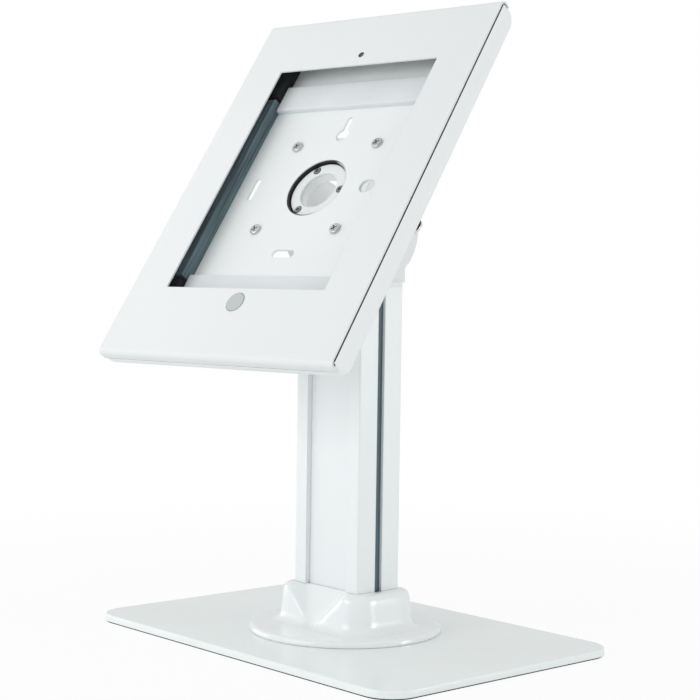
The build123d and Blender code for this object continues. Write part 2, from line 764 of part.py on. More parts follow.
with BuildPart() as front_cover:
    with BuildSketch(case_side(0)) as cover_section:
        with BuildLine():
            Polyline(
                (case_bottom, -cover_fold),
                (case_bottom, 0),
                (case_top, 0),
                (case_top, -cover_fold),
                close=True,
            )
        make_face()
        fillet(cover_section.vertices().sort_by(Axis.Y)[-2:], cover_round)
    extrude(amount=half_width, both=True)
    with BuildSketch(case_side(0)) as cover_room:
        with BuildLine():
            Polyline(
                (case_bottom + cover_sheet, -cover_fold),
                (case_bottom + cover_sheet, -cover_sheet),
                (case_top - cover_sheet, -cover_sheet),
                (case_top - cover_sheet, -cover_fold),
                close=True,
            )
        make_face()
        fillet(cover_room.vertices().sort_by(Axis.Y)[-2:], cover_round - cover_sheet)
    extrude(amount=half_width, both=True, mode=Mode.SUBTRACT)
    with BuildSketch(case_plane(0)):
        with Locations((0, window_rise)):
            RectangleRounded(window_width, window_height, window_round)
        with Locations((0, camera_rise)):
            Circle(camera_radius)
        with Locations((0, button_rise)):
            Circle(button_radius + button_hole_gap)
    extrude(amount=-cover_sheet, mode=Mode.SUBTRACT)

# Hooks behind the cover's left edge, curved about that edge, run in slots of the shell's lip
with BuildPart() as cover_hooks:
    for rise in hook_rises:
        with BuildSketch(case_level(rise)):
            with BuildLine():
                outer_arc = CenterArc((-half_width, -cover_sheet), hook_outer_radius, 0, -hook_sweep)
                inner_arc = CenterArc((-half_width, -cover_sheet), hook_inner_radius, 0, -hook_sweep)
                Line(outer_arc @ 0, inner_arc @ 0)
                Line(outer_arc @ 1, inner_arc @ 1)
            make_face()
        extrude(amount=hook_width / 2, both=True)

# Lock: a barrel through the back panel, a plug that turns, and a cam behind the cover's keeper
lock_bezel_radius = 6.4
lock_bezel_height = 5.0
lock_body_front = 8.4
lock_plug_radius = 3.2
lock_plug_proud = 0.3
lock_nut_flats = 11.6
lock_nut_height = 3.0
keyway_width = 1.6
keyway_length = 4.6
keyway_depth = 9.0
cam_thickness = 2.0
cam_front = 5.6
cam_reach = 12.0
cam_width = 9.0
cam_screw_head = 2.8
cam_screw_head_height = 1.6
cam_screw_radius = 1.5
cam_screw_reach = 6.0
cam_rear = cam_front + cam_thickness
bezel_rear = case_depth + lock_bezel_height

with BuildPart() as lock_housing:
    with BuildSketch(case_plane(lock_body_front)):
        with Locations((lock_across, lock_rise)):
            Circle(lock_body_radius)
    extrude(amount=-(bezel_rear - lock_body_front))
    with BuildSketch(case_plane(case_depth)):
        with Locations((lock_across, lock_rise)):
            Circle(lock_bezel_radius)
    extrude(amount=-lock_bezel_height)
    with BuildSketch(case_plane(lock_body_front)):
        with Locations((lock_across, lock_rise)):
            Circle(lock_plug_radius + running_gap)
    extrude(amount=-(bezel_rear - lock_body_front), mode=Mode.SUBTRACT)

with BuildPart() as lock_nut:
    with BuildSketch(case_plane(panel_front)):
        with Locations((lock_across, lock_rise)):
            RegularPolygon(lock_nut_flats / 2, 6, major_radius=False, rotation=30)
            Circle(lock_body_radius + running_gap, mode=Mode.SUBTRACT)
    extrude(amount=lock_nut_height)

with BuildPart() as lock_plug:
    with BuildSketch(case_plane(cam_rear)):
        with Locations((lock_across, lock_rise)):
            Circle(lock_plug_radius)
    extrude(amount=-(bezel_rear + lock_plug_proud - cam_rear))
    with BuildSketch(case_plane(bezel_rear + lock_plug_proud)):
        with Locations((lock_across, lock_rise)):
            Rectangle(keyway_width, keyway_length)
    extrude(amount=keyway_depth, mode=Mode.SUBTRACT)
    with BuildSketch(case_plane(cam_rear)):
        with Locations((lock_across, lock_rise)):
            Circle(cam_screw_radius + running_gap)
    extrude(amount=-cam_screw_reach, mode=Mode.SUBTRACT)

with BuildPart() as lock_cam:
    with BuildSketch(case_plane(cam_rear)):
        with Locations((lock_across, lock_rise)):
            Circle(cam_width / 2)
        with Locations((lock_across - cam_reach / 2, lock_rise)):
            Rectangle(cam_reach, cam_width)
        with Locations((lock_across, lock_rise)):
            Circle(cam_screw_radius + running_gap, mode=Mode.SUBTRACT)
    extrude(amount=cam_thickness)

with BuildPart() as cam_screw:
    with BuildSketch(case_plane(cam_front)):
        with Locations((lock_across, lock_rise)):
            Circle(cam_screw_head)
    extrude(amount=cam_screw_head_height)
    with BuildSketch(case_plane(cam_front)):
        with Locations((lock_across, lock_rise)):
            Circle(cam_screw_radius)
    extrude(amount=-(cam_thickness + cam_screw_reach))

# The keeper hangs from the cover's back, so that the turned cam lies in front of its lip
keeper_thickness = 1.5
keeper_width = 9.0
keeper_clearance = 1.2
keeper_lip_front = cam_rear + keeper_clearance
keeper_leg_drop = 17.5
keeper_lip_reach = 9.0

with BuildPart() as lock_keeper:
    with BuildSketch(case_side(lock_across - keeper_width / 2)):
        with BuildLine():
            Polyline(
                (lock_rise - keeper_leg_drop, -cover_sheet),
                (lock_rise - keeper_leg_drop, -(keeper_lip_front + keeper_thickness)),
                (lock_rise - keeper_leg_drop + keeper_lip_reach, -(keeper_lip_front + keeper_thickness)),
                (lock_rise - keeper_leg_drop + keeper_lip_reach, -keeper_lip_front),
                (lock_rise - keeper_leg_drop + keeper_thickness, -keeper_lip_front),
                (lock_rise - keeper_leg_drop + keeper_thickness, -cover_sheet),
                close=True,
            )
        make_face()
    extrude(amount=keeper_width)

# Home button cap, sprung forward in a guide ring behind the cover
button_proud = 0.4
button_edge_round = 0.3
button_flange_radius = 9.3
button_flange_thickness = 0.5
button_travel = 0.7
guide_radius = 12.5
guide_lip_bore = 7.0
guide_lip_thickness = 0.5
button_flange_front = cover_sheet + running_gap
guide_lip_front = button_flange_front + button_flange_thickness + button_travel + running_gap

with BuildPart() as home_button:
    with BuildSketch(case_plane(-button_proud)):
        with Locations((0, button_rise)):
            Circle(button_radius)
    extrude(amount=-(button_proud + button_flange_front + button_flange_thickness))
    fillet(home_button.edges().filter_by(lambda rim: depth_behind_face(rim) < 0), button_edge_round)
    with BuildSketch(case_plane(button_flange_front)):
        with Locations((0, button_rise)):
            Circle(button_flange_radius)
    extrude(amount=-button_flange_thickness)

with BuildPart() as button_guide:
    with BuildSketch(case_plane(cover_sheet)):
        with Locations((0, button_rise)):
            Circle(guide_radius)
            Circle(button_flange_radius + small_gap, mode=Mode.SUBTRACT)
    extrude(amount=-(guide_lip_front - cover_sheet))
    with BuildSketch(case_plane(guide_lip_front)):
        with Locations((0, button_rise)):
            Circle(guide_radius)
            Circle(guide_lip_bore, mode=Mode.SUBTRACT)
    extrude(amount=-guide_lip_thickness)

# Foam that the tablet lies on and between
tablet_slack = 0.5
tablet_front_gap = 0.4
seat_depth = cover_sheet + tablet_front_gap + tablet_thickness
side_pad_cover = 8.35
side_pad_width = 11.6
side_pad_inner = tablet_width / 2 - side_pad_cover
side_pad_outer = side_pad_inner + side_pad_width
side_pad_end = 38.5
side_pad_reach = tablet_height / 2 - side_pad_end
corner_gap = 3.0
corner_pad_ledge = 12.0
corner_pad_gap = 0.75
corner_pad_front = 2.0
corner_pad_trim = 4.0
rest_pad_thickness = 4.2
rest_pad_width = 23.2
rest_pad_rise = 83.3
rest_pad_fall = 90.9
rest_pad_gap = 0.5
rest_pad_length = 2 * (side_pad_inner - rest_pad_gap)
rest_pad_round = 1.2

with BuildPart() as side_pads:
    with BuildSketch(case_plane(panel_front)):
        with Locations((0, tablet_rise)):
            with GridLocations(side_pad_inner + side_pad_outer, 0, 2, 1):
                Rectangle(side_pad_outer - side_pad_inner, 2 * side_pad_reach)
    extrude(amount=panel_front - seat_depth)

corner_outer_x = half_width - shell_lip_width - corner_pad_gap
corner_outer_y = tablet_height / 2 + tablet_slack + corner_pad_ledge - corner_pad_trim
with BuildPart() as corner_pads:
    with BuildSketch(case_plane(panel_front)):
        with Locations((0, tablet_rise)):
            with GridLocations(side_pad_inner + corner_outer_x, side_pad_reach + corner_gap + corner_outer_y, 2, 2):
                Rectangle(corner_outer_x - side_pad_inner, corner_outer_y - side_pad_reach - corner_gap)
    extrude(amount=panel_front - corner_pad_front)
    with BuildSketch(case_plane(seat_depth)):
        with Locations((0, tablet_rise)):
            Rectangle(tablet_width + 2 * tablet_slack, tablet_height + 2 * tablet_slack)
    extrude(amount=seat_depth, mode=Mode.SUBTRACT)

with BuildPart() as rest_pads:
    with BuildSketch(case_plane(panel_front)):
        with Locations((0, rest_pad_rise), (0, -rest_pad_fall)):
            Rectangle(rest_pad_length, rest_pad_width)
    extrude(amount=rest_pad_thickness)
    fillet(rest_pads.edges().filter_by(
        lambda edge: depth_behind_face(edge) < panel_front - rest_pad_thickness + running_gap), rest_pad_round)

# Each piece is written under its own name
pieces = {
    "base_mat": base_mat,
    "base_plate": base_plate,
    "base_screws": base_screws,
    "post": post,
    "slot_strips": slot_strips,
    "cable_grommet": cable_grommet,
    "collar": collar,
    "post_cap": post_cap,
    "cap_screws": cap_screws,
    "stop_pin": stop_pin,
    "swivel_washer": swivel_washer,
    "yoke": yoke,
    "swivel_tube": swivel_tube,
    "swivel_spring": swivel_spring,
    "swivel_nut": swivel_nut,
    "tilt_bolt": tilt_bolt,
    "tilt_nut": tilt_nut,
    "tilt_washers": tilt_washers,
    "ear_caps": ear_caps,
    "tilt_arm": tilt_arm,
    "hub_ring": hub_ring,
    "hub_screws": hub_screws,
    "hub_washer": hub_washer,
    "vesa_plate": vesa_plate,
    "vesa_screws": vesa_screws,
    "hub_bush": hub_bush,
    "rear_shell": rear_shell,
    "side_pads": side_pads,
    "corner_pads": corner_pads,
    "rest_pads": rest_pads,
    "lock_housing": lock_housing,
    "lock_nut": lock_nut,
    "lock_plug": lock_plug,
    "lock_cam": lock_cam,
    "cam_screw": cam_screw,
    "front_cover": front_cover,
    "cover_hooks": cover_hooks,
    "lock_keeper": lock_keeper,
    "home_button": home_button,
    "button_guide": button_guide,
}
for name, piece in pieces.items():
    piece.part.label = name
    export_step(piece.part, "parts/" + name + ".step")
    print(name, round(piece.part.volume / 1000, 2), "cm3", len(piece.part.solids()), "solids")
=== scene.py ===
import math
import bpy
import numpy as np
from mathutils import Matrix, Vector


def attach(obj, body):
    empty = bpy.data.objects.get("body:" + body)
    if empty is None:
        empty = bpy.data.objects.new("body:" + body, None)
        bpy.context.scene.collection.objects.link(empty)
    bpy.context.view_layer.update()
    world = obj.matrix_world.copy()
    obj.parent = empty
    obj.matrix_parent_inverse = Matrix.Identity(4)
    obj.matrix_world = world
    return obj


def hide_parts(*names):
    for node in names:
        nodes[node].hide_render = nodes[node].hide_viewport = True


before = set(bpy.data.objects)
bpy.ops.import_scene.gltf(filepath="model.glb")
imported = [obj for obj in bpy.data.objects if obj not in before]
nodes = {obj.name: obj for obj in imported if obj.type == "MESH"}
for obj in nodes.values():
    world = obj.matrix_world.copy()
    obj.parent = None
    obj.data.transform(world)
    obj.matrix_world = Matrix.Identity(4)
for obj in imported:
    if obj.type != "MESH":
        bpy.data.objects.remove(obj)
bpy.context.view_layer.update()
print("frame loaded:", len(nodes), "pieces")

# how the tablet case lies: turned about Z, then leaned back about the tilt bolt
lean = {"swivel": math.radians(7.66), "tilt": math.radians(35.34), "boltHeight": 0.2978,
        "boltToFace": 0.0654}
boltMiddle = np.array([0.0, 0.0, lean["boltHeight"]])
caseRight = np.array([math.cos(lean["swivel"]), math.sin(lean["swivel"]), 0.0])
caseOut = np.array([math.cos(lean["tilt"]) * math.sin(lean["swivel"]),
                    -math.cos(lean["tilt"]) * math.cos(lean["swivel"]),
                    math.sin(lean["tilt"])])
caseUp = np.cross(caseOut, caseRight)
caseMiddle = boltMiddle + lean["boltToFace"] * caseOut


def onCase(points):  # columns are right, up and depth behind the face, in metres
    return caseMiddle + points[:, :1] * caseRight + points[:, 1:2] * caseUp - points[:, 2:3] * caseOut


# node helpers for the finishes
nodeLook = {"noiseLow": 0.3, "noiseHigh": 0.7, "bevelSamples": 4, "creviceSamples": 6, "creviceFrom": 0.12,
            "creviceTo": 0.45, "creviceTone": 0.1, "coatRoughness": 0.12}


def startMaterial(name):
    material = bpy.data.materials.new(name)
    material.use_nodes = True
    tree = material.node_tree
    tree.nodes.clear()
    output = tree.nodes.new("ShaderNodeOutputMaterial")
    shader = tree.nodes.new("ShaderNodeBsdfPrincipled")
    tree.links.new(shader.outputs["BSDF"], output.inputs["Surface"])
    place = tree.nodes.new("ShaderNodeTexCoord")
    return material, tree, shader, place.outputs["Object"]


def mathNode(tree, operation, *values):  # each value is a number or another node's output
    node = tree.nodes.new("ShaderNodeMath")
    node.operation = operation
    for slot, value in enumerate(values):
        if isinstance(value, float):
            node.inputs[slot].default_value = value
        else:
            tree.links.new(value, node.inputs[slot])
    return node.outputs["Value"]


def vectorNode(tree, operation, place, second=(0.0, 0.0, 0.0)):
    node = tree.nodes.new("ShaderNodeVectorMath")
    node.operation = operation
    node.inputs[1].default_value = tuple(float(c) for c in second)
    tree.links.new(place, node.inputs[0])
    return node.outputs


def ranged(tree, value, source, target=(0.0, 1.0)):
    remap = tree.nodes.new("ShaderNodeMapRange")
    remap.inputs["From Min"].default_value, remap.inputs["From Max"].default_value = source
    remap.inputs["To Min"].default_value, remap.inputs["To Max"].default_value = target
    tree.links.new(value, remap.inputs["Value"])
    return remap.outputs["Result"]


def noiseField(tree, place, scale, detail, rough=0.5):
    noise = tree.nodes.new("ShaderNodeTexNoise")
    noise.inputs["Scale"].default_value = scale
    noise.inputs["Detail"].default_value = detail
    noise.inputs["Roughness"].default_value = rough
    tree.links.new(place, noise.inputs["Vector"])
    return noise.outputs["Fac"]


def shade(colour, factor):
    return tuple(min(1.0, c * factor) for c in colour)


def driftColour(tree, factor, colour, darker, lighter):  # between two shades, as the noise goes
    ramp = tree.nodes.new("ShaderNodeValToRGB")
    low, high = ramp.color_ramp.elements
    low.position = nodeLook["noiseLow"]
    low.color = (*shade(colour, 1.0 - darker), 1.0)
    high.position = nodeLook["noiseHigh"]
    high.color = (*shade(colour, 1.0 + lighter), 1.0)
    tree.links.new(factor, ramp.inputs["Fac"])
    return ramp.outputs["Color"]


def bumpFrom(tree, height, strength, depth, under=None):
    bump = tree.nodes.new("ShaderNodeBump")
    bump.inputs["Strength"].default_value = strength
    bump.inputs["Distance"].default_value = depth
    tree.links.new(height, bump.inputs["Height"])
    if under is not None:
        tree.links.new(under, bump.inputs["Normal"])
    return bump.outputs["Normal"]


def softEdge(tree, radius):
    bevel = tree.nodes.new("ShaderNodeBevel")
    bevel.samples = nodeLook["bevelSamples"]
    bevel.inputs["Radius"].default_value = radius
    return bevel.outputs["Normal"]


def creviceShade(tree, colour, reach):  # light that can't get into a seam leaves it darker
    hidden = tree.nodes.new("ShaderNodeAmbientOcclusion")
    hidden.samples = nodeLook["creviceSamples"]
    hidden.inputs["Distance"].default_value = reach
    rise = ranged(tree, hidden.outputs["AO"], (nodeLook["creviceFrom"], nodeLook["creviceTo"]),
                  (nodeLook["creviceTone"], 1.0))
    tone = tree.nodes.new("ShaderNodeMix")
    tone.data_type = "RGBA"
    tone.blend_type = "MULTIPLY"
    tone.inputs["Factor"].default_value = 1.0
    tree.links.new(colour, tone.inputs["A"])
    tree.links.new(rise, tone.inputs["B"])
    return tone.outputs["Result"]


def tinted(tree, share, colour, tint):  # mixes one fixed colour in by a share
    tone = tree.nodes.new("ShaderNodeMix")
    tone.data_type = "RGBA"
    tone.inputs["B"].default_value = (*tint, 1.0)
    tree.links.new(share, tone.inputs["Factor"])
    tree.links.new(colour, tone.inputs["A"])
    return tone.outputs["Result"]


def seamShade(tree, place, colour, seam):  # dark in a band of depth, as far out and up as it goes
    offset = vectorNode(tree, "SUBTRACT", place, boltMiddle)["Vector"]
    depth, side, rise = (vectorNode(tree, "DOT_PRODUCT", offset, axis)["Value"]
                         for axis in (caseOut, caseRight, caseUp))
    near = mathNode(tree, "COMPARE", depth, lean["boltToFace"] - seam["depth"], seam["half"])
    outer = mathNode(tree, "GREATER_THAN", mathNode(tree, "ABSOLUTE", side), seam["from"])
    within = mathNode(tree, "COMPARE", rise, seam["middle"], seam["reach"])
    every = mathNode(tree, "MULTIPLY", mathNode(tree, "MULTIPLY", near, outer), within)
    return tinted(tree, every, colour, seam["colour"])


# painted shade: the wall of a hole drawn dark, as if deep in shadow
def holeShade(tree, place, colour, hole):  # dark in a ball round a hole's middle, so on its wall alone
    away = vectorNode(tree, "DISTANCE", place, onCase(np.array([hole["middle"]]))[0])["Value"]
    return tinted(tree, mathNode(tree, "LESS_THAN", away, hole["radius"]), colour, hole["colour"])


# painted shade and light: dark on the left where shade falls, paler towards the case's right
def sideShadeFade(tree, place, colour, fade):  # turns to a second colour towards the case's right
    side = vectorNode(tree, "DOT_PRODUCT", place, caseRight)["Value"]
    return tinted(tree, ranged(tree, side, (fade["from"], fade["to"])), colour, fade["colour"])


def surfaceFinish(name, look):  # broad drift of colour, finer drift of gloss, and a fine grain on the surface
    material, tree, shader, place = startMaterial(name)
    drift = noiseField(tree, place, look["driftScale"], look["driftDetail"])
    colour = driftColour(tree, drift, look["colour"], look["drift"], look["drift"])
    if look["crevice"]:
        colour = creviceShade(tree, colour, look["crevice"])
    for key, added in (("seam", seamShade), ("hole", holeShade), ("fade", sideShadeFade)):
        if look[key]:
            colour = added(tree, place, colour, look[key])
    tree.links.new(colour, shader.inputs["Base Color"])
    smear = noiseField(tree, place, look["smearScale"], look["smearDetail"], look["smearRough"])
    gloss = ranged(tree, smear, (nodeLook["noiseLow"], nodeLook["noiseHigh"]), look["roughness"])
    tree.links.new(gloss, shader.inputs["Roughness"])
    grain = noiseField(tree, place, look["grainScale"], look["grainDetail"])
    edge = softEdge(tree, look["edge"]) if look["edge"] else None
    tree.links.new(bumpFrom(tree, grain, look["grain"], look["grainDepth"], edge), shader.inputs["Normal"])
    shader.inputs["Metallic"].default_value = look["metal"]
    shader.inputs["Specular IOR Level"].default_value = look["specular"]
    shader.inputs["Coat Weight"].default_value = look["coat"]
    shader.inputs["Coat Roughness"].default_value = nodeLook["coatRoughness"]
    return material


plain = {"drift": 0.01, "driftScale": 9.0, "driftDetail": 3.0, "smearScale": 40.0, "smearDetail": 4.0,
         "smearRough": 0.6, "roughness": (0.3, 0.4), "grainScale": 900.0, "grainDetail": 2.0, "grain": 0.1,
         "grainDepth": 0.00006, "edge": 0.0005, "metal": 0.0, "specular": 0.5, "coat": 0.0, "crevice": 0.0,
         "seam": None, "hole": None, "fade": None}
# painted shade: a dark band in the gap along the case's sides, where cover and shell meet
sideSeamShadow = {"depth": 0.00160, "half": 0.00065, "from": 0.1065, "middle": -0.0051, "reach": 0.1485,
            "colour": (0.02, 0.022, 0.024)}
# painted shade on the wall of the cover's camera hole
cameraHoleShadow = {"middle": (0.0, 0.1070, 0.0008), "radius": 0.00252, "colour": (0.06, 0.066, 0.07)}
lockBand = {"depth": 0.0215, "half": 0.0017, "from": 0.0, "middle": 0.0, "reach": 1.0,
            "colour": (0.012, 0.012, 0.013)}
# painted light on the hub's bush: a pale colour towards the case's right, where light reaches it
hubBushShading = {"from": 0.006, "to": 0.012, "colour": (0.6, 0.63, 0.635)}

finishes = {
    "whitePaint": dict(plain, colour=(0.782, 0.812, 0.818), roughness=(0.34, 0.44), grain=0.05,
                       crevice=0.003, seam=sideSeamShadow, hole=cameraHoleShadow),
    "trayPaint": dict(plain, colour=(0.835, 0.866, 0.872), roughness=(0.34, 0.44), grain=0.05,
                      crevice=0.003, seam=sideSeamShadow),
    # painted light: paler than the case's white, so the arm inside the hub's bore looks lit
    "glossPaint": dict(plain, colour=(0.92, 0.94, 0.945), roughness=(0.1, 0.16), grain=0.02, crevice=0.002,
                       coat=0.6),
    "platePaint": dict(plain, colour=(0.848, 0.9, 0.893), roughness=(0.16, 0.22), grainScale=160.0,
                       grain=0.01),
    "postPaint": dict(plain, colour=(0.833, 0.87, 0.875), roughness=(0.3, 0.4), grain=0.03, crevice=0.002),
    "mouldedWhite": dict(plain, colour=(0.79, 0.82, 0.828), roughness=(0.16, 0.22), grainScale=700.0,
                         grain=0.02, coat=0.3),
    "collarWhite": dict(plain, colour=(0.85, 0.883, 0.891), roughness=(0.16, 0.22), grainScale=700.0,
                        grain=0.02, coat=0.4, edge=0.0012),
    "zincSteel": dict(plain, colour=(0.60, 0.61, 0.62), crevice=0.0012, drift=0.06, driftScale=60.0,
                      smearScale=240.0, roughness=(0.22, 0.4), grainScale=2500.0, grain=0.15, edge=0.0003,
                      metal=1.0),
    "lockSteel": dict(plain, colour=(0.78, 0.79, 0.80), roughness=(0.15, 0.25), edge=0.0002, metal=0.7,
                      seam=lockBand),
    "greySteel": dict(plain, colour=(0.30, 0.31, 0.33), roughness=(0.25, 0.35), edge=0.0002, metal=1.0,
                      crevice=0.0012),
    # the hub's bush: black as painted shade on its left, turning pale as painted light towards the right
    "bushShadeNylon": dict(plain, colour=(0.012, 0.012, 0.013), roughness=(0.5, 0.65), edge=0.0, fade=hubBushShading),
    "nylonWasher": dict(plain, colour=(0.62, 0.62, 0.59), roughness=(0.4, 0.5), edge=0.0002),
    "darkStrip": dict(plain, colour=(0.08, 0.124, 0.15), drift=0.05, roughness=(0.45, 0.6), edge=0.0),
    "matRubber": dict(plain, colour=(0.03, 0.03, 0.033), drift=0.1, driftScale=40.0, roughness=(0.75, 0.9),
                      grainScale=1800.0, grain=0.5, grainDepth=0.0002, edge=0.0),
    "grommetRubber": dict(plain, colour=(0.018, 0.018, 0.02), roughness=(0.5, 0.65), edge=0.0004),
    "buttonCap": dict(plain, colour=(0.47, 0.52, 0.52), roughness=(0.12, 0.2), grain=0.02, edge=0.0004,
                      coat=0.4),
}
paint = {name: surfaceFinish(name, look) for name, look in finishes.items()}
print("finishes made:", len(paint))

wearers = {
    "whitePaint": ["front_cover", "vesa_plate", "yoke", "post_cap", "hub_ring"],
    "trayPaint": ["rear_shell"],
    "glossPaint": ["tilt_arm"],
    "platePaint": ["base_plate"],
    "postPaint": ["post"],
    "mouldedWhite": ["ear_caps", "button_guide"],
    "collarWhite": ["collar"],
    "zincSteel": ["base_screws", "cap_screws", "stop_pin", "swivel_tube", "swivel_spring", "swivel_nut",
                  "tilt_bolt", "tilt_nut", "vesa_screws", "lock_nut", "lock_plug", "lock_cam", "cam_screw",
                  "cover_hooks", "lock_keeper"],
    "lockSteel": ["lock_housing"],
    "greySteel": ["hub_screws"],
    "bushShadeNylon": ["hub_bush"],
    "nylonWasher": ["swivel_washer", "tilt_washers", "hub_washer"],
    "darkStrip": ["slot_strips"],
    "matRubber": ["base_mat"],
    "grommetRubber": ["cable_grommet"],
    "buttonCap": ["home_button"],
}
for finish, names in wearers.items():
    for name in names:
        piece = nodes[name]
        if not len(piece.material_slots):
            piece.data.materials.append(paint[finish])
        for slot in piece.material_slots:
            slot.material = paint[finish]
print("finishes worn by", sum(len(names) for names in wearers.values()), "pieces")

# foam pads
foam = {"drift": 0.3, "streakDetail": 5.0, "streakRough": 0.6, "cellScale": 1500.0, "bump": 0.5,
        "cellDepth": 0.0003, "specular": 0.3, "sheen": 0.15}
slateLook = dict(foam, colour=(0.108, 0.162, 0.184), drift=0.55, across=420.0, along=14.0, roughness=0.75)
blackLook = dict(foam, colour=(0.014, 0.017, 0.02), across=90.0, along=90.0, roughness=0.8)
paleLook = dict(foam, colour=(0.74, 0.785, 0.795), drift=0.03, across=30.0, along=30.0, cellScale=1800.0,
                bump=0.2, roughness=0.6)
padLook = {"edge": 0.0008, "crown": 0.0002, "steps": (24, 60), "crowded": 0.45, "even": 0.55,
           "smoothAngle": math.radians(50)}
padPlace = {"tabletRise": -0.0024, "tabletHalfWidth": 0.08525, "tabletHalfHeight": 0.1205, "floor": 0.0185,
            "seat": 0.0091, "sideInner": 0.0764, "sideOuter": 0.0880, "sideReach": 0.0815,
            "cornerNear": 0.0845, "cornerFar": 0.1285, "cornerOuter": 0.09725, "cornerTop": 0.0020,
            "ledgeRun": 0.0006, "restHalfLength": 0.0759, "restTop": 0.0143,
            "restSpans": ((0.0717, 0.0949), (-0.1025, -0.0793))}


def foamFinish(name, look):  # tone in streaks along the case, and closed cells as small hollows
    material, tree, shader, place = startMaterial(name)
    cells = tree.nodes.new("ShaderNodeTexVoronoi")
    cells.inputs["Scale"].default_value = look["cellScale"]
    tree.links.new(place, cells.inputs["Vector"])
    spun = tree.nodes.new("ShaderNodeCombineXYZ")
    for slot, axis, scale in (("X", caseRight, look["across"]), ("Y", caseUp, look["along"]),
                              ("Z", caseOut, look["across"])):
        tree.links.new(vectorNode(tree, "DOT_PRODUCT", place, axis * scale)["Value"], spun.inputs[slot])
    streaks = noiseField(tree, spun.outputs["Vector"], 1.0, look["streakDetail"], look["streakRough"])
    colour = driftColour(tree, streaks, look["colour"], look["drift"], look["drift"])
    tree.links.new(colour, shader.inputs["Base Color"])
    hollows = bumpFrom(tree, cells.outputs["Distance"], look["bump"], look["cellDepth"])
    tree.links.new(hollows, shader.inputs["Normal"])
    shader.inputs["Roughness"].default_value = look["roughness"]
    shader.inputs["Specular IOR Level"].default_value = look["specular"]
    shader.inputs["Sheen Weight"].default_value = look["sheen"]
    return material


def padSteps(start, end, count, look):  # part evenly spaced, part by a half cosine that crowds both ends
    turn = np.linspace(0.0, math.pi, count)
    even = np.linspace(0.0, 1.0, count)
    return start + (end - start) * (look["crowded"] * (0.5 - 0.5 * np.cos(turn)) + look["even"] * even)


def padBlock(low, high, level, look):
    # Height field over the block's footprint: its top follows level(x, y) and swells by a half sine each
    # way, and near the outline it drops by a quarter circle. A flat copy of the grid closes it below.
    size = high - low
    across = padSteps(low[0], high[0], look["steps"][0], look)
    along = padSteps(low[1], high[1], look["steps"][1], look)
    gridX, gridY = np.meshgrid(across, along, indexing="ij")
    inset = np.minimum.reduce([gridX - low[0], high[0] - gridX, gridY - low[1], high[1] - gridY])
    near = np.clip(1.0 - inset / look["edge"], 0.0, 1.0)
    drop = look["edge"] * (1.0 - np.sqrt(1.0 - near ** 2))
    swellX = np.sin(math.pi * (gridX - low[0]) / size[0])
    swellY = np.sin(math.pi * (gridY - low[1]) / size[1])
    top = level(gridX, gridY) + drop - look["crown"] * swellX * swellY
    front = np.stack([gridX.ravel(), gridY.ravel(), top.ravel()], axis=1)
    back = np.stack([gridX.ravel(), gridY.ravel(), np.full(gridX.size, high[2])], axis=1)
    index = np.arange(gridX.size).reshape(gridX.shape)
    quads = np.stack([index[:-1, :-1], index[1:, :-1], index[1:, 1:], index[:-1, 1:]], axis=-1)
    quads = quads.reshape(-1, 4)
    border = np.concatenate([index[:-1, 0], index[-1, :-1], index[:0:-1, -1], index[0, :0:-1]])
    onward = np.roll(border, -1)
    below = gridX.size
    walls = np.stack([border, border + below, onward + below, onward], axis=1)
    return np.concatenate([front, back]), np.concatenate([quads, quads[:, ::-1] + below, walls[:, ::-1]])


def foamPiece(name, node, blocks, look, finish):
    points, faces, count = [], [], 0
    for low, high, level in blocks:
        blockPoints, blockFaces = padBlock(np.array(low), np.array(high), level, look)
        points.append(onCase(blockPoints))
        faces.append(blockFaces + count)
        count += len(blockPoints)
    mesh = bpy.data.meshes.new(name)
    mesh.from_pydata(np.concatenate(points).tolist(), [], np.concatenate(faces).tolist())
    mesh.update()
    piece = bpy.data.objects.new(name, mesh)
    bpy.context.scene.collection.objects.link(piece)
    bpy.context.view_layer.objects.active = piece
    bpy.ops.object.select_all(action="DESELECT")
    piece.select_set(True)
    bpy.ops.object.mode_set(mode="EDIT")
    bpy.ops.mesh.select_all(action="SELECT")
    bpy.ops.mesh.normals_make_consistent(inside=False)
    bpy.ops.object.mode_set(mode="OBJECT")
    bpy.ops.object.shade_auto_smooth(angle=look["smoothAngle"])
    mesh.materials.append(finish)
    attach(piece, "case")
    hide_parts(node)


def flatAt(depth):
    return lambda x, y: np.full_like(x, depth)


def cornerLevel(x, y):  # the ledge outside the tablet's outline stands prouder than its seat
    beyond = np.maximum(np.abs(x) - padPlace["tabletHalfWidth"],
                        np.abs(y - padPlace["tabletRise"]) - padPlace["tabletHalfHeight"])
    rise = np.clip(beyond / padPlace["ledgeRun"], 0.0, 1.0)
    return padPlace["seat"] + (padPlace["cornerTop"] - padPlace["seat"]) * rise


def blockBetween(spanX, spanY, top, level):  # each span's ends in either order
    low = (min(spanX), min(spanY), top)
    high = (max(spanX), max(spanY), padPlace["floor"])
    return low, high, level


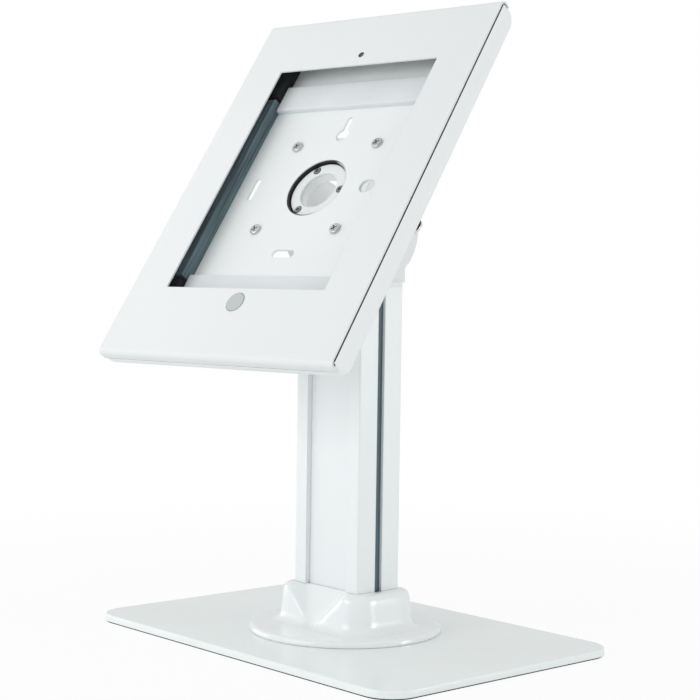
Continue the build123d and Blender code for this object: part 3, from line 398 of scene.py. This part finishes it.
middle = padPlace["tabletRise"]
sideBlocks = [blockBetween((side * padPlace["sideInner"], side * padPlace["sideOuter"]),
                           (middle - padPlace["sideReach"], middle + padPlace["sideReach"]),
                           padPlace["seat"], flatAt(padPlace["seat"])) for side in (1, -1)]
cornerBlocks = [blockBetween((side * padPlace["sideInner"], side * padPlace["cornerOuter"]),
                             (middle + end * padPlace["cornerNear"], middle + end * padPlace["cornerFar"]),
                             padPlace["cornerTop"], cornerLevel) for side in (-1, 1) for end in (-1, 1)]
restBlocks = [blockBetween((-padPlace["restHalfLength"], padPlace["restHalfLength"]), span,
                           padPlace["restTop"], flatAt(padPlace["restTop"]))
              for span in padPlace["restSpans"]]
foamPiece("sideFoam", "side_pads", sideBlocks, dict(padLook, steps=(16, 120)),
          foamFinish("slateFoam", slateLook))
foamPiece("cornerFoam", "corner_pads", cornerBlocks, dict(padLook, steps=(70, 110)),
          foamFinish("blackFoam", blackLook))
foamPiece("restFoam", "rest_pads", restBlocks, dict(padLook, edge=0.0012, steps=(140, 30)),
          foamFinish("paleFoam", paleLook))
print("foam pads made")

# collar with its creases rounded off, as a moulded part comes out
collarLook = {"weld": 0.000005, "voxel": 0.0009, "rounds": 22, "pull": 0.5, "rim": 0.0125, "rise": 0.003,
              "least": 0.35, "foot": 0.0022, "keep": 0.0016, "blend": 0.003, "legOuter": 0.0345,
              "legInner": 0.0220, "legDepth": 0.020, "webDepth": 0.0160}


def fromPost(points):  # distance outside the post's outline, two legs joined by a thinner web
    across, along = np.abs(points[:, 0]), np.abs(points[:, 1])
    webX = np.maximum(across - collarLook["legOuter"], 0.0)
    webY = np.maximum(along - collarLook["webDepth"], 0.0)
    legX = np.maximum(webX, collarLook["legInner"] - across)
    legY = np.maximum(along - collarLook["legDepth"], 0.0)
    return np.minimum(np.hypot(legX, legY), np.hypot(webX, webY))


def softCollar():
    # An even mesh over the collar. Each point moves part of the way to the mean of its neighbours, round
    # after round: less low on the rim, and not at all beside the post and on the foot plate, which it fits.
    rough = bpy.data.objects.new("roughCollar", nodes["collar"].data.copy())
    bpy.context.scene.collection.objects.link(rough)
    weld = rough.modifiers.new("weld", "WELD")
    weld.merge_threshold = collarLook["weld"]
    grid = rough.modifiers.new("grid", "REMESH")
    grid.mode = "VOXEL"
    grid.voxel_size = collarLook["voxel"]
    mesh = bpy.data.meshes.new_from_object(rough.evaluated_get(bpy.context.evaluated_depsgraph_get()))
    bpy.data.objects.remove(rough)
    count = len(mesh.vertices)
    points = np.empty(count * 3)
    mesh.vertices.foreach_get("co", points)
    points = points.reshape(-1, 3)
    ends = np.empty(len(mesh.edges) * 2, dtype=np.int64)
    mesh.edges.foreach_get("vertices", ends)
    one, other = ends.reshape(-1, 2).T
    valence = np.bincount(one, minlength=count) + np.bincount(other, minlength=count)
    high = np.clip((points[:, 2] - collarLook["rim"]) / collarLook["rise"], 0.0, 1.0)
    free = np.clip((fromPost(points) - collarLook["keep"]) / collarLook["blend"], 0.0, 1.0)
    clear = np.clip((points[:, 2] - points[:, 2].min()) / collarLook["foot"], 0.0, 1.0)
    weight = free * clear * (collarLook["least"] + (1.0 - collarLook["least"]) * high) * collarLook["pull"]
    for turn in range(collarLook["rounds"]):
        sums = [np.bincount(one, line[other], count) + np.bincount(other, line[one], count)
                for line in points.T]
        mean = np.stack(sums, axis=1) / valence[:, None]
        points = points + weight[:, None] * (mean - points)
    mesh.vertices.foreach_set("co", points.ravel())
    mesh.polygons.foreach_set("use_smooth", np.ones(len(mesh.polygons), dtype=bool))
    mesh.materials.clear()
    mesh.materials.append(paint["collarWhite"])
    mesh.update()
    piece = bpy.data.objects.new("softCollar", mesh)
    bpy.context.scene.collection.objects.link(piece)
    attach(piece, "base")
    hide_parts("collar")
    print("collar rounded:", len(mesh.polygons), "faces")


softCollar()

# floor, light and camera
stageLook = {"floorSize": 12.0, "floorColour": (0.93, 0.93, 0.93), "floorDrift": 0.01, "driftScale": 3.0,
             "driftDetail": 3.0, "roughness": 0.9, "specular": 0.1, "nearGlow": 0.88, "farGlow": 1.0,
             "nearReach": 0.3, "farReach": 0.8, "skyLight": 0.735}


def floorMaterial():
    # A matt floor that takes shadows. The camera sees it mixed with a white glow, which grows with the
    # distance from the stand until nothing else is left.
    material, tree, shader, place = startMaterial("paleFloor")
    drift = noiseField(tree, place, stageLook["driftScale"], stageLook["driftDetail"])
    colour = driftColour(tree, drift, stageLook["floorColour"], stageLook["floorDrift"], 0.0)
    tree.links.new(colour, shader.inputs["Base Color"])
    shader.inputs["Roughness"].default_value = stageLook["roughness"]
    shader.inputs["Specular IOR Level"].default_value = stageLook["specular"]
    glow = tree.nodes.new("ShaderNodeEmission")
    glow.inputs["Strength"].default_value = 1.0
    rays = tree.nodes.new("ShaderNodeLightPath")
    away = vectorNode(tree, "LENGTH", place)["Value"]
    fade = ranged(tree, away, (stageLook["nearReach"], stageLook["farReach"]),
                  (stageLook["nearGlow"], stageLook["farGlow"]))
    mix = tree.nodes.new("ShaderNodeMixShader")
    tree.links.new(mathNode(tree, "MULTIPLY", rays.outputs["Is Camera Ray"], fade), mix.inputs["Fac"])
    tree.links.new(shader.outputs["BSDF"], mix.inputs[1])
    tree.links.new(glow.outputs["Emission"], mix.inputs[2])
    output = next(node for node in tree.nodes if node.type == "OUTPUT_MATERIAL")
    tree.links.new(mix.outputs["Shader"], output.inputs["Surface"])
    return material


half = stageLook["floorSize"] / 2
floorMesh = bpy.data.meshes.new("paleFloor")
floorMesh.from_pydata([(-half, -half, 0), (half, -half, 0), (half, half, 0), (-half, half, 0)], [],
                      [(0, 1, 2, 3)])
floorMesh.materials.append(floorMaterial())
floor = bpy.data.objects.new("paleFloor", floorMesh)
bpy.context.scene.collection.objects.link(floor)

# the sky lights the stand softly and is plain white where the camera sees it
world = bpy.data.worlds.new("studioSky")
bpy.context.scene.world = world
world.use_nodes = True
sky = world.node_tree
sky.nodes.clear()
skyMix = sky.nodes.new("ShaderNodeMixShader")
for slot, strength in ((1, stageLook["skyLight"]), (2, 1.0)):
    shining = sky.nodes.new("ShaderNodeBackground")
    shining.inputs["Color"].default_value = (1.0, 1.0, 1.0, 1.0)
    shining.inputs["Strength"].default_value = strength
    sky.links.new(shining.outputs["Background"], skyMix.inputs[slot])
skyRays = sky.nodes.new("ShaderNodeLightPath")
sky.links.new(skyRays.outputs["Is Camera Ray"], skyMix.inputs["Fac"])
skyOut = sky.nodes.new("ShaderNodeOutputWorld")
sky.links.new(skyMix.outputs["Shader"], skyOut.inputs["Surface"])

lamps = {
    "leftPanel": {"place": (-1.7, -0.62, 0.37), "aim": (0, 0, 0.37), "width": 1.2, "height": 0.7,
                  "power": 3.9},
    "rightPanel": {"place": (1.51, 0.98, 0.25), "aim": (0, 0, 0.25), "width": 0.4, "height": 0.6,
                   "power": 5.5},
    "frontPanel": {"place": (-0.3, -1.9, 0.66), "aim": (0, 0, 0.2), "width": 1.2, "height": 0.85,
                   "power": 9.5},
    "topPanel": {"place": (0.1, 0.1, 2.0), "aim": (0, 0, 0.2), "width": 1.6, "height": 1.6, "power": 1.2},
    "faceLamp": {"place": (-0.20, -0.27, 0.48), "aim": (-0.06, -0.06, 0.336), "width": 0.3, "height": 0.3,
                 "power": 0.09},
}
for name, setup in lamps.items():
    light = bpy.data.lights.new(name, "AREA")
    light.shape = "RECTANGLE"
    light.size = setup["width"]
    light.size_y = setup["height"]
    light.energy = setup["power"]
    lamp = bpy.data.objects.new(name, light)
    bpy.context.scene.collection.objects.link(lamp)
    lamp.location = setup["place"]
    toward = Vector(setup["aim"]) - Vector(setup["place"])
    lamp.rotation_euler = toward.to_track_quat("-Z", "Y").to_euler()

# the picture's own viewpoint, from the fitted corners of plate, post and case
cameraFit = {"place": (0.90973, -0.80920, 0.26138), "back": (0.74622, -0.66435, 0.04275), "roll": 0.83,
             "lens": 86.434, "sensor": 36.0, "clipEnd": 100.0}
back = Vector(cameraFit["back"]).normalized()
level = Vector((-back.y, back.x, 0.0)).normalized()
rise = back.cross(level)
roll = math.radians(cameraFit["roll"])
right = level * math.cos(roll) + rise * math.sin(roll)
upward = rise * math.cos(roll) - level * math.sin(roll)
cameraData = bpy.data.cameras.new("pictureCamera")
cameraData.lens = cameraFit["lens"]
cameraData.sensor_width = cameraFit["sensor"]
cameraData.clip_end = cameraFit["clipEnd"]
camera = bpy.data.objects.new("pictureCamera", cameraData)
bpy.context.scene.collection.objects.link(camera)
camera.matrix_world = Matrix((
    (right.x, upward.x, back.x, cameraFit["place"][0]),
    (right.y, upward.y, back.y, cameraFit["place"][1]),
    (right.z, upward.z, back.z, cameraFit["place"][2]),
    (0, 0, 0, 1)))
bpy.context.scene.camera = camera
bpy.context.scene.view_settings.view_transform = "Standard"
print("stage, lamps and camera set")
